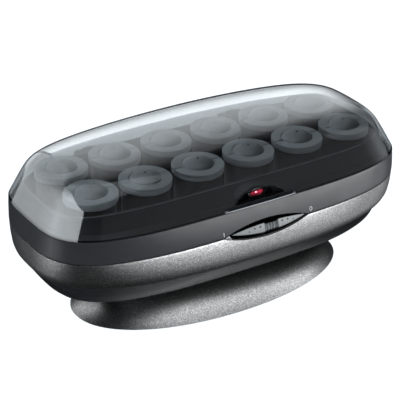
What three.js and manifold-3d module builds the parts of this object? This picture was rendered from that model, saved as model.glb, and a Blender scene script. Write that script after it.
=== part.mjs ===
// Heated hair roller set: a case on an oval pedestal, with a smoked dome lid hinged at the back,
// and twelve hollow velvet rollers standing on heating posts in a deep tray.
// Millimetres, +Z up, +X along the rows of rollers, -Y towards the user.
// The origin is on the table, below the middle of the case.
import * as THREE from "three";
import { mergeVertices } from "three/addons/utils/BufferGeometryUtils.js";
import Module from "manifold-3d";

const wasm = await Module();
wasm.setup();

// ---------------------------------------------------------------- driving dimensions

const OUTLINE_SEGMENTS = 40; // sides of every superellipse outline of the case
const ROUND_SEGMENTS = 16; // sides of rollers and their rings
const SMALL_SEGMENTS = 12; // sides of posts, pins and small round pieces
const GAP = 0.3; // air between pieces that rest on each other
const WALL = 2.5; // moulded wall of the case shells

// Outlines of the case: half length a, half depth b, superellipse power n, height z.
const RIM = { a: 161.2, b: 74.2, n: 3.8, z: 101 }; // where lid and band meet
const SEAM = { a: 163.3, b: 78.4, n: 3.33, z: 82 }; // where band and lower shell meet
const TUCK = { a: 158.3, b: 77.6, n: 2.6, z: 56 }; // bottom edge of the lower shell
const LIP = { a: 147.4, b: 64.6, n: 3.1, z: 39.6 }; // where the belly turns under
const FOOT = { a: 122.7, b: 64.2, n: 2.1, z: 0.8 }; // edge of the pedestal on the table
const BELLY_FLOOR_Z = 37;

// Lid: a crowned vault over the whole case, cut by end walls that lean inwards.
const LID_HEIGHT = 44;
const LID_CROWN = 8.1; // how much lower the vault is at CROWN_X than in the middle
const CROWN_X = 125;
const VAULT_POWER = 2.58;
const WALL_LEAN = { x: 24.4, y: 14.2 }; // how far the walls lean in over the lid's height
const EDGE_POWER = 15; // sharpness of the edge between vault and walls
const SKIRT_POWER = 4; // how soon the lid's skirt, which fits the rim, gives way to the walls
const LID_LATITUDES = [0, 9, 18, 27, 36, 47, 60, 75, 87]; // degrees, from the rim to the crown
const LID_OPEN_GAP = 0.3; // the lid's edge stands this far above the band

// Rollers: two rows of six.
const ROWS = 2;
const PER_ROW = 6;
const PITCH = { x: 47.1, y: 48.7 };
const RING = { outer: 21, inner: 12.9, height: 6, top: 121.8, chamfer: 0.9 };
const BARREL = { outer: 19, flange: 5.7, bottom: 60.3 };
const POST = { radius: 12.2, shoulder: 120.8, top: 126 };

// Tray: a well for the rollers with a raised ridge and an apron down to the band.
const WELL = { a: 147.5, b: 52, n: 4.4 };
const TRAY_WALL = 1.8;
const TRAY_FLOOR = 60; // top of the floor
const RIDGE_Z = 114;
const APRON = { a: 157.9, b: 70.9, n: 3.8, z: 99.4 };
const POST_HOLE = 13;

// Heater under the tray.
const PLATE = { a: 139, b: 44, n: 6, bottom: 50, top: 54 };

// Hinges at the back: two groups of three knuckles on one axis.
const HINGE = { y: 75.4, z: 102, radius: 4.5, bore: 2, pin: 1.85, clearance: 5.1 };
const HINGE_X = 70; // middle of each group
const LID_KNUCKLE = 7.2; // length
const BASE_KNUCKLE = 5.9;
const KNUCKLE_GAP = 0.5;

// Window in the lid's front wall, and the lamp housing and lens behind it.
const WINDOW = { x: 4, bottom: 105.2, halfWidth: 22.5, height: 7 };
const HOUSING = { halfWidth: 17, front: 66.3, back: 56, top: 113 };
const LENS = { x: 3, y: -66, z: 107.9, rx: 7.4, ry: 2.4, rz: 3.9 };
const LAMP_RADIUS = 2.5;

// Catch at the front: two hooks on the lid over a spring strip in the base.
const HOOK = { xs: [-8, 16], width: 5, outer: 72.6, inner: 70.6, bottom: 96.5 };
const TAB = { halfWidth: 28, x: 4, out: 1.2, height: 2 };

// Power switch: an almond pad that slides in an almond opening across the seam.
const OPENING = { x: 6, halfLength: 40, halfHeight: 7 };
const PAD = { halfLength: 34, halfHeight: 4.6, front: 79.9, back: 73.6 };
const SWITCH_TRAVEL = 8;
const BEZEL = { halfLength: 43, halfHeight: 9.5, front: 73, back: 71.2 };
const STEM = { halfWidth: 3, halfHeight: 2, end: 66 };

// ---------------------------------------------------------------- materials

const material = (color, roughness, metalness = 0) =>
  new THREE.MeshStandardMaterial({ color, roughness, metalness });
const SMOKED = new THREE.MeshStandardMaterial({
  color: 0x6d7274,
  roughness: 0.05,
  transparent: true,
  opacity: 0.4,
});
const BAND_GREY = material(0x4b4d50, 0.4);
const SPECKLED = material(0x8c8f90, 0.45, 0.5);
const TRAY_BLACK = material(0x1c1e20, 0.5);
const VELVET = material(0x2c2d2f, 0.95);
const RING_GREY = material(0x5a5c5e, 0.6);
const POST_GREY = material(0x56585a, 0.5);
const PAD_GREY = material(0x8f9597, 0.4);
const LENS_RED = material(0xc02a3c, 0.15);
const ALUMINIUM = material(0xb4b6b8, 0.45, 0.9);
const STEEL = material(0xa0a2a5, 0.3, 1);
const RUBBER = material(0x161617, 0.9);
const WHITE_CERAMIC = material(0xdcdad2, 0.6);

// ---------------------------------------------------------------- helpers

/** A superellipse as a closed list of points, denser where it bends. */
function outline({ a, b, n, z }, inset = 0) {
  return Array.from({ length: OUTLINE_SEGMENTS }, (_, i) => {
    const angle = (2 * Math.PI * i) / OUTLINE_SEGMENTS;
    const [c, s] = [Math.cos(angle), Math.sin(angle)];
    const x = (a - inset) * Math.sign(c) * Math.abs(c) ** (2 / n);
    const y = (b - inset) * Math.sign(s) * Math.abs(s) ** (2 / n);
    return new THREE.Vector3(x, y, z);
  });
}

/** An outline part of the way from one outline to another. */
function between(from, to, share) {
  const mix = (key) => from[key] + (to[key] - from[key]) * share;
  return { a: mix("a"), b: mix("b"), n: mix("n"), z: mix("z") };
}

/**
 * A closed surface through loops of equal length. A ring joins its last loop to its first;
 * otherwise the first loop is closed by a face looking down and the last by one looking up.
 */
function loft(loops, isRing = false) {
  const count = loops[0].length;
  const positions = loops.flat().flatMap((p) => [p.x, p.y, p.z]);
  const index = [];
  const bands = isRing ? loops.length : loops.length - 1;
  for (let k = 0; k < bands; k++) {
    const lower = k * count;
    const upper = ((k + 1) % loops.length) * count;
    for (let i = 0; i < count; i++) {
      const j = (i + 1) % count;
      index.push(lower + i, lower + j, upper + j, lower + i, upper + j, upper + i);
    }
  }
  if (!isRing) {
    capLoop(positions, index, loops[0], 0, false);
    capLoop(positions, index, loops.at(-1), (loops.length - 1) * count, true);
  }
  return new THREE.BufferGeometry()
    .setAttribute("position", new THREE.Float32BufferAttribute(positions, 3))
    .setIndex(index);
}

/** Closes one loop with a fan around its middle. */
function capLoop(positions, index, loop, start, facesUp) {
  const middle = new THREE.Vector3();
  loop.forEach((p) => middle.addScaledVector(p, 1 / loop.length));
  const centre = positions.length / 3;
  positions.push(middle.x, middle.y, middle.z);
  loop.forEach((_, i) => {
    const j = (i + 1) % loop.length;
    index.push(centre, start + (facesUp ? i : j), start + (facesUp ? j : i));
  });
}

/** A three.js geometry as a manifold-3d solid. */
function solid(geometry) {
  const bare = new THREE.BufferGeometry().setAttribute(
    "position",
    (geometry.index ? geometry.toNonIndexed() : geometry).getAttribute("position"),
  );
  const merged = mergeVertices(bare, 1e-4);
  return new wasm.Manifold(
    new wasm.Mesh({
      numProp: 3,
      vertProperties: new Float32Array(merged.attributes.position.array),
      triVerts: new Uint32Array(merged.index.array),
    }),
  );
}

/** A manifold-3d solid as a three.js geometry. */
function geometryOf(shape) {
  const { vertProperties, triVerts, numProp, numVert } = shape.getMesh();
  const positions = [];
  for (let i = 0; i < numVert; i++) {
    positions.push(...vertProperties.subarray(i * numProp, i * numProp + 3));
  }
  return new THREE.BufferGeometry()
    .setAttribute("position", new THREE.Float32BufferAttribute(positions, 3))
    .setIndex([...triVerts]);
}

/** A named mesh of a geometry or a solid. */
function mesh(name, shape, finish) {
  const geometry = shape instanceof THREE.BufferGeometry ? shape : geometryOf(shape);
  const made = new THREE.Mesh(geometry, finish);
  made.name = name;
  return made;
}

/** A box between two corners. */
function box([x0, y0, z0], [x1, y1, z1]) {
  return new THREE.BoxGeometry(x1 - x0, y1 - y0, z1 - z0).translate(
    (x0 + x1) / 2,
    (y0 + y1) / 2,
    (z0 + z1) / 2,
  );
}

/** A cylinder along X from x0 to x1, around the hinge axis. */
function hingeCylinder(radius, x0, x1) {
  return new THREE.CylinderGeometry(radius, radius, x1 - x0, SMALL_SEGMENTS)
    .rotateZ(Math.PI / 2)
    .translate((x0 + x1) / 2, HINGE.y, HINGE.z);
}

/** A cylinder along Y from y0 to y1. */
function cylinderY(radius, x, z, y0, y1, segments = SMALL_SEGMENTS) {
  return new THREE.CylinderGeometry(radius, radius, y1 - y0, segments).translate(x, (y0 + y1) / 2, z);
}

/** A turned piece from a profile of [radius, height] points, standing at x, y. */
function turned(profile, segments, x = 0, y = 0) {
  const points = profile.map(([r, z]) => new THREE.Vector2(r, z));
  return new THREE.LatheGeometry(points, segments).rotateX(Math.PI / 2).translate(x, y, 0);
}

/** Extrudes a shape drawn in X and Z along Y, from y0 to y1. */
function extrudeY(shape, y0, y1, curveSegments = 8) {
  return new THREE.ExtrudeGeometry(shape, { depth: y1 - y0, bevelEnabled: false, curveSegments })
    .rotateX(Math.PI / 2)
    .translate(0, y1, 0);
}

/** An almond: two arcs that meet in points at both ends. */
function almond(x, z, halfLength, halfHeight) {
  return new THREE.Shape()
    .moveTo(x - halfLength, z)
    .quadraticCurveTo(x, z - 2 * halfHeight, x + halfLength, z)
    .quadraticCurveTo(x, z + 2 * halfHeight, x - halfLength, z);
}

// ---------------------------------------------------------------- lid

/** How far out, as a share of the lid's own half sizes, the surface lies along a direction. */
function lidReach(direction, inset) {
  const height = LID_HEIGHT - inset;
  const measure = (share) => {
    const x = Math.abs(direction.x * share * (RIM.a - inset));
    const y = Math.abs(direction.y * share * (RIM.b - inset));
    const z = direction.z * share * height;
    const crown = Math.max(height - LID_CROWN * (x / CROWN_X) ** 2, 1);
    const vault = (y / (RIM.b - inset)) ** VAULT_POWER + (z / crown) ** VAULT_POWER;
    const a = RIM.a - inset - WALL_LEAN.x * (z / height);
    const b = RIM.b - inset - WALL_LEAN.y * (z / height);
    const walls = (x / a) ** RIM.n + (y / b) ** RIM.n;
    return vault ** (EDGE_POWER / VAULT_POWER) + walls ** (EDGE_POWER / RIM.n);
  };
  let [inside, outside] = [0, 2];
  for (let step = 0; step < 40; step++) {
    const middle = (inside + outside) / 2;
    if (measure(middle) > 1) outside = middle;
    else inside = middle;
  }
  return inside;
}

/** One loop of the lid's surface at a latitude above the rim, pulled in by inset. */
function lidLoop(latitude, inset) {
  const lift = THREE.MathUtils.degToRad(latitude);
  const flat = outline({ a: 1, b: 1, n: RIM.n, z: 0 });
  return flat.map((p) => {
    const d = new THREE.Vector3(p.x * Math.cos(lift), p.y * Math.cos(lift), Math.sin(lift));
    const reach = lidReach(d, inset);
    const height = d.z * reach;
    const skirt = 1 + (1 / lidReach(p, inset) - 1) * (1 - height) ** SKIRT_POWER;
    return new THREE.Vector3(
      d.x * reach * skirt * (RIM.a - inset),
      d.y * reach * skirt * (RIM.b - inset),
      RIM.z + LID_OPEN_GAP + height * (LID_HEIGHT - inset),
    );
  });
}

/** The arched window in the lid's front wall. */
function windowShape() {
  const { x, bottom, halfWidth, height } = WINDOW;
  return new THREE.Shape()
    .moveTo(x - halfWidth, bottom)
    .lineTo(x + halfWidth, bottom)
    .quadraticCurveTo(x + 0.8 * halfWidth, bottom + height, x, bottom + height)
    .quadraticCurveTo(x - 0.8 * halfWidth, bottom + height, x - halfWidth, bottom);
}

function lidShell() {
  const inner = LID_LATITUDES.map((latitude) => lidLoop(latitude, WALL)).reverse();
  const outer = LID_LATITUDES.map((latitude) => lidLoop(latitude, 0));
  let shape = solid(loft([...inner, ...outer]));
  shape = shape.subtract(solid(extrudeY(windowShape(), -90, -60)));
  const tabZ = RIM.z + LID_OPEN_GAP;
  shape = shape.add(
    solid(
      box(
        [TAB.x - TAB.halfWidth, -(RIM.b + TAB.out), tabZ],
        [TAB.x + TAB.halfWidth, -(RIM.b - 1), tabZ + TAB.height],
      ),
    ),
  );
  for (const x of HOOK.xs) {
    const half = HOOK.width / 2;
    const hook = box([x - half, -HOOK.outer, HOOK.bottom], [x + half, -HOOK.inner, tabZ + 2]);
    shape = shape.add(solid(hook));
  }
  for (const side of [-1, 1]) {
    const middle = side * HINGE_X;
    for (const way of [-1, 1]) {
      const [x0, x1] = baseKnuckle(middle, way);
      shape = shape.subtract(
        solid(hingeCylinder(HINGE.clearance, x0 - KNUCKLE_GAP, x1 + KNUCKLE_GAP)),
      );
    }
    const half = LID_KNUCKLE / 2;
    shape = shape.add(solid(hingeCylinder(HINGE.radius, middle - half, middle + half)));
    shape = shape.subtract(solid(hingeCylinder(HINGE.bore, middle - half - 1, middle + half + 1)));
  }
  return mesh("lid_shell", shape, SMOKED);
}

// ---------------------------------------------------------------- hinges

/** The ends, low to high, of the base knuckle on one side (way -1 or 1) of a lid knuckle. */
function baseKnuckle(middle, way) {
  const near = middle + way * (LID_KNUCKLE / 2 + KNUCKLE_GAP);
  const far = near + way * BASE_KNUCKLE;
  return [Math.min(near, far), Math.max(near, far)];
}

function hingePin(name, middle) {
  const half = LID_KNUCKLE / 2 + KNUCKLE_GAP + BASE_KNUCKLE - 0.6;
  return mesh(name, hingeCylinder(HINGE.pin, middle - half, middle + half), STEEL);
}

// ---------------------------------------------------------------- case

/** The slots in the band and tray that the lid's hooks drop into. */
function cutHookSlots(shape) {
  let cut = shape;
  for (const x of HOOK.xs) {
    const half = HOOK.width / 2 + 0.6;
    const slot = box(
      [x - half, -(HOOK.outer + 0.6), HOOK.bottom - 0.6],
      [x + half, -(HOOK.inner - 0.6), RIM.z + 6],
    );
    cut = cut.subtract(solid(slot));
  }
  return cut;
}

/** The almond opening for the power switch. */
function switchOpening() {
  const { x, halfLength, halfHeight } = OPENING;
  return solid(extrudeY(almond(x, SEAM.z, halfLength, halfHeight), -95, -65));
}

function upperBand() {
  const bottom = SEAM.z + GAP / 2;
  let shape = solid(
    loft(
      [
        outline({ ...SEAM, z: bottom }),
        outline(RIM),
        outline(RIM, WALL + GAP),
        outline({ ...SEAM, z: bottom }, WALL + GAP),
      ],
      true,
    ),
  );
  for (const middle of [-HINGE_X, HINGE_X]) {
    const half = LID_KNUCKLE / 2 + KNUCKLE_GAP;
    shape = shape.subtract(solid(hingeCylinder(HINGE.clearance, middle - half, middle + half)));
    for (const way of [-1, 1]) {
      const [x0, x1] = baseKnuckle(middle, way);
      shape = shape.add(solid(hingeCylinder(HINGE.radius, x0, x1)));
      shape = shape.subtract(solid(hingeCylinder(HINGE.bore, x0 - 1, x1 + 1)));
    }
  }
  return mesh("upper_band", cutHookSlots(shape).subtract(switchOpening()), BAND_GREY);
}

function lowerShell() {
  const top = SEAM.z - GAP / 2;
  const profile = [
    TUCK,
    { a: 161, b: 79.4, n: 2.75, z: 58.4 },
    { a: 162.8, b: 80.3, n: 2.9, z: 62.5 },
    { a: 163.4, b: 80.4, n: 3.05, z: 69 },
    { a: 163.5, b: 79.6, n: 3.2, z: 76 },
    { ...SEAM, z: top },
  ];
  const outer = profile.map((section) => outline(section));
  const inner = profile.map((section) => outline(section, WALL)).reverse();
  let shape = solid(loft([...outer, ...inner], true)).subtract(switchOpening());
  const inlet = cylinderY(CORD_INLET.seat, CORD_INLET.x, CORD_INLET.z, 60, 90);
  shape = shape.subtract(solid(inlet));
  return mesh("lower_shell", shape, SPECKLED);
}

function bellyPan() {
  const top = { ...TUCK, a: TUCK.a - 0.6, b: TUCK.b - 0.6, z: TUCK.z - GAP };
  const turn = { a: 138, b: 55, n: 3, z: BELLY_FLOOR_Z };
  const floor = { ...turn, a: turn.a - WALL, b: turn.b - WALL, z: BELLY_FLOOR_Z + WALL };
  const under = between(LIP, turn, 0.45);
  const shape = loft([
    outline(turn),
    outline({ ...under, z: under.z - 0.6 }),
    outline(LIP),
    outline(between(LIP, top, 0.5)),
    outline(top),
    outline(top, WALL),
    outline(between(LIP, top, 0.4), WALL),
    outline(floor),
  ]);
  return mesh("belly_pan", shape, BAND_GREY);
}

/** The pedestal flares out in a hollow curve from a narrow waist to the table. */
function pedestalSkirt() {
  const waist = { a: 105.5, b: 47, n: 2.3, z: BELLY_FLOOR_Z - GAP };
  const steps = 4;
  const profile = Array.from({ length: steps + 1 }, (_, i) => {
    const rise = (i / steps) ** 1.6;
    const flare = (1 - rise) ** 3.2;
    const section = between(waist, FOOT, flare);
    return { ...section, z: FOOT.z + (waist.z - FOOT.z) * rise };
  });
  const outer = profile.map((section) => outline(section));
  const inner = profile.map((section) => outline(section, WALL)).reverse();
  return mesh("pedestal_skirt", loft([...outer, ...inner], true), SPECKLED);
}

const BASE_PLATE = { a: 106, b: 48.5, n: 2.1, bottom: 2, top: 4.5 };
const RUBBER_FOOT = { radius: 8, x: 68, y: 26 };

function basePlate() {
  const shape = loft([
    outline({ ...BASE_PLATE, z: BASE_PLATE.bottom }),
    outline({ ...BASE_PLATE, z: BASE_PLATE.top }),
  ]);
  return mesh("base_plate", shape, TRAY_BLACK);
}

function rubberFeet() {
  const corners = [
    ["front_left", -1, -1],
    ["front_right", 1, -1],
    ["rear_left", -1, 1],
    ["rear_right", 1, 1],
  ];
  const { radius, x, y } = RUBBER_FOOT;
  const profile = [
    [0, 0],
    [radius - 0.8, 0],
    [radius, 0.8],
    [radius, BASE_PLATE.bottom],
    [0, BASE_PLATE.bottom],
  ];
  return corners.map(([corner, sx, sy]) =>
    mesh(`rubber_foot_${corner}`, turned(profile, SMALL_SEGMENTS, sx * x, sy * y), RUBBER),
  );
}

const CORD_INLET = { x: 36, z: 68, seat: 7.5, outer: 7.2, collar: 9.4, bore: 3.6, back: 79.8 };

/** The bush for the mains lead, low at the back, with a collar inside the shell. */
function cordInlet() {
  const { x, z, outer, collar, bore, back } = CORD_INLET;
  const body = solid(cylinderY(outer, x, z, back - 10, back)).add(
    solid(cylinderY(collar, x, z, back - 8, back - 4)),
  );
  return mesh("cord_inlet", body.subtract(solid(cylinderY(bore, x, z, 60, 90))), RUBBER);
}

// ---------------------------------------------------------------- tray and heater

/** The plan position of every roller, front row first, left to right. */
function rollerPlaces() {
  const places = [];
  for (let row = 0; row < ROWS; row++) {
    for (let i = 0; i < PER_ROW; i++) {
      const number = String(places.length + 1).padStart(2, "0");
      const x = (i - (PER_ROW - 1) / 2) * PITCH.x;
      const y = (row - (ROWS - 1) / 2) * PITCH.y;
      places.push({ number, x, y });
    }
  }
  return places;
}

function rollerTray(places) {
  const well = (z, grow = 0) => outline({ ...WELL, z }, -grow);
  let shape = solid(
    loft([
      well(TRAY_FLOOR - TRAY_WALL, TRAY_WALL),
      well(RIDGE_Z - 3.5, TRAY_WALL),
      outline({ ...APRON, z: APRON.z - TRAY_WALL }),
      outline(APRON),
      well(RIDGE_Z - 0.8, TRAY_WALL + 0.6),
      well(RIDGE_Z, TRAY_WALL - 0.4),
      well(RIDGE_Z - 0.8),
      well(TRAY_FLOOR),
    ]),
  );
  const { halfWidth, front, back, top } = HOUSING;
  const housing = box(
    [LENS.x - halfWidth, -front, APRON.z + 1],
    [LENS.x + halfWidth, -back, top],
  );
  shape = shape.add(solid(housing));
  shape = shape.subtract(solid(lensShape(0.4)));
  shape = shape.subtract(
    solid(cylinderY(LAMP_RADIUS + 0.5, LENS.x, LENS.z, LENS.y, -HOUSING.back - 0.6)),
  );
  for (const { x, y } of places) {
    const hole = turned(
      [
        [0, TRAY_FLOOR - 5],
        [POST_HOLE, TRAY_FLOOR - 5],
        [POST_HOLE, TRAY_FLOOR + 1],
        [0, TRAY_FLOOR + 1],
      ],
      SMALL_SEGMENTS,
      x,
      y,
    );
    shape = shape.subtract(solid(hole));
  }
  return mesh("roller_tray", cutHookSlots(shape), TRAY_BLACK);
}

/** The oval lens, grown all round by a clearance. */
function lensShape(grow = 0) {
  return new THREE.SphereGeometry(1, 12, 6)
    .scale(LENS.rx + grow, LENS.ry + grow, LENS.rz + grow)
    .translate(LENS.x, LENS.y, LENS.z);
}

function indicator() {
  const back = -HOUSING.back - 1;
  const front = LENS.y + LENS.ry + 0.4;
  return [
    mesh("indicator_lens", lensShape(), LENS_RED),
    mesh("indicator_lamp", cylinderY(LAMP_RADIUS, LENS.x, LENS.z, front, back, 10), WHITE_CERAMIC),
  ];
}

function heatingPost({ number, x, y }) {
  const domeSteps = 3;
  const dome = Array.from({ length: domeSteps }, (_, i) => {
    const angle = (Math.PI / 2) * ((i + 1) / domeSteps);
    const radius = i + 1 === domeSteps ? 0 : POST.radius * Math.cos(angle);
    return [radius, POST.shoulder + (POST.top - POST.shoulder) * Math.sin(angle)];
  });
  const foot = PLATE.top + 0.2;
  const profile = [[0, foot], [POST.radius, foot], [POST.radius, POST.shoulder], ...dome];
  return mesh(`heating_post_${number}`, turned(profile, SMALL_SEGMENTS, x, y), POST_GREY);
}

function heater() {
  const plate = loft([outline({ ...PLATE, z: PLATE.bottom }), outline({ ...PLATE, z: PLATE.top })]);
  const below = PLATE.bottom - 0.2;
  return [
    mesh("heater_plate", plate, ALUMINIUM),
    mesh("heating_element", box([-110, -7, below - 5], [110, 7, below]), WHITE_CERAMIC),
    mesh(
      "thermostat",
      turned([[0, below - 6], [8, below - 6], [8, below], [0, below]], SMALL_SEGMENTS, 60, 24),
      STEEL,
    ),
    mesh("thermal_fuse", box([-72, 20, below - 4], [-54, 24, below]), ALUMINIUM),
  ];
}

// ---------------------------------------------------------------- rollers

/** The barrel is a thick tube, as it holds a wax core, with a wider flange at its foot. */
function rollerBarrel({ number, x, y }) {
  const { outer, flange, bottom } = BARREL;
  const top = RING.top - RING.height - 0.2;
  const profile = [
    [RING.inner, bottom],
    [RING.outer, bottom],
    [RING.outer, bottom + flange],
    [outer, bottom + flange],
    [outer, top],
    [RING.inner, top],
    [RING.inner, bottom],
  ];
  return mesh(`roller_${number}_barrel`, turned(profile, ROUND_SEGMENTS, x, y), VELVET);
}

/** The end ring that closes the barrel's top, where the roller is held to lift it. */
function rollerRing({ number, x, y }) {
  const { outer, inner, height, top, chamfer } = RING;
  const profile = [
    [inner, top - height],
    [outer, top - height],
    [outer, top - chamfer],
    [outer - chamfer, top],
    [inner, top],
    [inner, top - height],
  ];
  return mesh(`roller_${number}_end_ring`, turned(profile, ROUND_SEGMENTS, x, y), RING_GREY);
}

// ---------------------------------------------------------------- switch and catch

/** A block around the switch's stem, for the stem itself or, grown, for its slots. */
function stemBlock(middle, growX, growZ, y0, y1) {
  const { halfWidth, halfHeight } = STEM;
  return box(
    [middle - halfWidth - growX, y0, SEAM.z - halfHeight - growZ],
    [middle + halfWidth + growX, y1, SEAM.z + halfHeight + growZ],
  );
}

function powerSwitch() {
  const restX = OPENING.x + SWITCH_TRAVEL / 2; // off, at the right
  const pad = solid(
    extrudeY(almond(restX, SEAM.z, PAD.halfLength, PAD.halfHeight), -PAD.front, -PAD.back),
  );
  const slider = pad.add(solid(stemBlock(restX, 0, 0, -PAD.back - 1, -STEM.end)));
  const slot = solid(stemBlock(OPENING.x, SWITCH_TRAVEL / 2 + 1, 0.6, -90, -STEM.end + 0.6));
  const bezel = extrudeY(
    almond(OPENING.x, SEAM.z, BEZEL.halfLength, BEZEL.halfHeight),
    -BEZEL.front,
    -BEZEL.back,
  );
  const body = box([OPENING.x - 18, -BEZEL.back + 0.4, SEAM.z - 8], [OPENING.x + 18, -58, SEAM.z + 8]);
  return [
    mesh("switch_slider", slider, PAD_GREY),
    mesh("switch_bezel", solid(bezel).subtract(slot), TRAY_BLACK),
    mesh("switch_body", solid(body).subtract(slot), TRAY_BLACK),
  ];
}

function latchCatch() {
  const [left, right] = HOOK.xs;
  const margin = 6;
  return mesh(
    "latch_catch",
    box([left - margin, -72, SEAM.z + BEZEL.halfHeight + 0.5], [right + margin, -70, HOOK.bottom - 1]),
    STEEL,
  );
}

// ---------------------------------------------------------------- assembly

const places = rollerPlaces();
const rollerSet = new THREE.Group();
rollerSet.add(
  pedestalSkirt(),
  basePlate(),
  ...rubberFeet(),
  bellyPan(),
  lowerShell(),
  upperBand(),
  rollerTray(places),
  ...heater(),
  ...indicator(),
  ...powerSwitch(),
  latchCatch(),
  cordInlet(),
  hingePin("hinge_pin_left", -HINGE_X),
  hingePin("hinge_pin_right", HINGE_X),
  lidShell(),
);
for (const place of places) {
  rollerSet.add(heatingPost(place), rollerBarrel(place), rollerRing(place));
}

export default rollerSet;
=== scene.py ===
"""Heated hair roller set: the visible pieces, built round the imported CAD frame.

Shapes are given in millimetres and turned to metres as each mesh is made.
+X runs along the rows of rollers, -Y towards the user, +Z up.
"""
import math

import bmesh
import bpy
import numpy as np
from mathutils import Matrix, Quaternion, Vector

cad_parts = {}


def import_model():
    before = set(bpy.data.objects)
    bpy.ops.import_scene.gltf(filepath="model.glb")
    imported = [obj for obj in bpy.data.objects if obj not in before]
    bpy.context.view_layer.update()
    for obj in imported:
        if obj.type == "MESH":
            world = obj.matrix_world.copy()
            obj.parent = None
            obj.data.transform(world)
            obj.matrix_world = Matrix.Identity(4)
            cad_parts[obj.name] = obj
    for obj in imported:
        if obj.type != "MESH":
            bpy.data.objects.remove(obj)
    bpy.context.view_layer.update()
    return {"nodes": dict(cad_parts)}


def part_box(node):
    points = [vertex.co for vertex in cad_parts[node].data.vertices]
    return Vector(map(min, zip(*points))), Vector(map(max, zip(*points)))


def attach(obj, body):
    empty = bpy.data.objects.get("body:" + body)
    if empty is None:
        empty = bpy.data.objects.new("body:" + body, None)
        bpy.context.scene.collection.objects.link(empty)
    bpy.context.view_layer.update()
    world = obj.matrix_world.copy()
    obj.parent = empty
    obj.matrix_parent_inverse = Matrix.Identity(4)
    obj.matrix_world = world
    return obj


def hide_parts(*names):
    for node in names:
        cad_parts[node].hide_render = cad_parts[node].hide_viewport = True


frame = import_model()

MM = 0.001

# --- dimensions, millimetres

OUTLINE_POINTS = 256
ROUND_POINTS = 72

# outlines are superellipses |x/a|^n + |y/b|^n = 1
RIM = dict(a=161.2, b=74.2, n=3.8, z=101.0)
SEAM = dict(a=163.3, b=78.4, n=3.33, z=82.0)
FOOT = dict(a=122.7, b=64.2, n=2.1, z=0.8)
WAIST = dict(a=105.5, b=47.0, n=2.3, z=36.7)
SHELL_KEYS = (  # z, a, b, n of the lower shell from its bottom edge to the seam
    (56.0, 158.3, 77.6, 2.60),
    (58.4, 161.0, 79.4, 2.75),
    (62.5, 162.8, 80.3, 2.90),
    (69.0, 163.4, 80.4, 3.05),
    (76.0, 163.5, 79.6, 3.20),
    (82.0, 163.3, 78.4, 3.33),
)
BELLY_KEYS = (  # z, a, b, n of the belly from its lowest edge up to the shell
    (39.0, 146.0, 63.4, 3.10),
    (42.0, 149.4, 66.6, 3.05),
    (46.0, 152.2, 70.2, 2.95),
    (51.0, 155.3, 74.0, 2.75),
    (55.7, 157.7, 77.0, 2.60),
)
WALL = 2.5
SEAM_GAP = 0.35
SHELL_INSET = 0.15
BAND_SWELL = 0.45
LIFT_POWER, FLARE_POWER = 1.6, 3.2  # how the pedestal rises and narrows
PLATE = dict(a=106.0, b=48.5, n=2.1)
VENT_PITCH, VENT_HALF_X, VENT_HALF_Y = 12.0, 2.0, 14.0
SCREWS = ((-90, 0), (90, 0), (0, -34), (0, 34))
BUSH_X, BUSH_Z, BUSH_HOLE_R = 36, 68, 7.5

LID_HEIGHT = 43.85
LID_CROWN, CROWN_X = 8.1, 125.0  # the lid is this much lower at this x
VAULT_POWER = 2.58
LEAN_X, LEAN_Y = 24.4, 14.2  # how far its walls lean in by the top
EDGE_POWER = 15.0  # how tightly its walls turn into its vault
SKIRT_POWER = 4.0  # how fast its foot widens to meet the rim
LID_LIFT = 0.3

PITCH_X, PITCH_Y = 47.1, 48.7
POST_FOOT, POST_SHOULDER, POST_TOP, POST_R = 54.2, 120.2, 125.6, 12.2
POST_HOLE_R = 13.0
BORE_R, BARREL_R, FLANGE_R, RING_R = 12.9, 19.0, 21.0, 21.0
BARREL_FOOT, FLANGE_TOP, BARREL_TOP = 60.3, 66.0, 115.6
RING_FOOT, RING_LINE, RING_TOP = 115.8, 119.5, 121.8
GROOVE_HALF, GROOVE_FLOOR = 0.6, 120.0

WELL = dict(a=147.5, b=52.0, n=4.4)
APRON = dict(a=157.9, b=70.9, n=3.8, z=99.4)
RIDGE_Z = 114.0
APRON_GROOVE = ((0.32, 0.1), (0.33, 0.7), (0.38, 0.7), (0.39, 0.1), (0.41, 0.0))  # share up, depth
TRAY_FLOOR = 60.0
TRAY_WALL = 1.8

HINGE_Y, HINGE_Z, HINGE_R = 75.4, 102.0, 4.5
HINGE_X = 70.0
LID_KNUCKLE, BASE_KNUCKLE, KNUCKLE_GAP = 7.2, 5.9, 0.5
HINGE_CLEARANCE = 5.1
HINGES = (("left", -HINGE_X), ("right", HINGE_X))
PIN_R = 1.85
SEAL_BREAK = 10.5

WINDOW_X, WINDOW_BOTTOM, WINDOW_HALF, WINDOW_HEIGHT = 4.0, 104.8, 22.5, 7.2
LENS = Vector((3.0, -66.0, 107.9))
LENS_RX, LENS_RZ = 7.2, 3.9
LENS_RIM_Y, LENS_BULGE = -66.6, 3.9
LIP_X, LIP_HALF = 4.0, 30.0
LIP_SLOTS = (("left", -6.5), ("right", 18.5))
HOOKS = (("left", -8.0), ("right", 16.0))
# width of the window's black edge (painted shade), and how many times deeper it runs along the bottom
SHADE_EDGE, SILL = 0.5, 1.5
ARCH_HALF, ARCH_SPRING, ARCH_RISE, ARCH_FOOT = 17.0, 103.5, 9.2, 100.4

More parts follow.
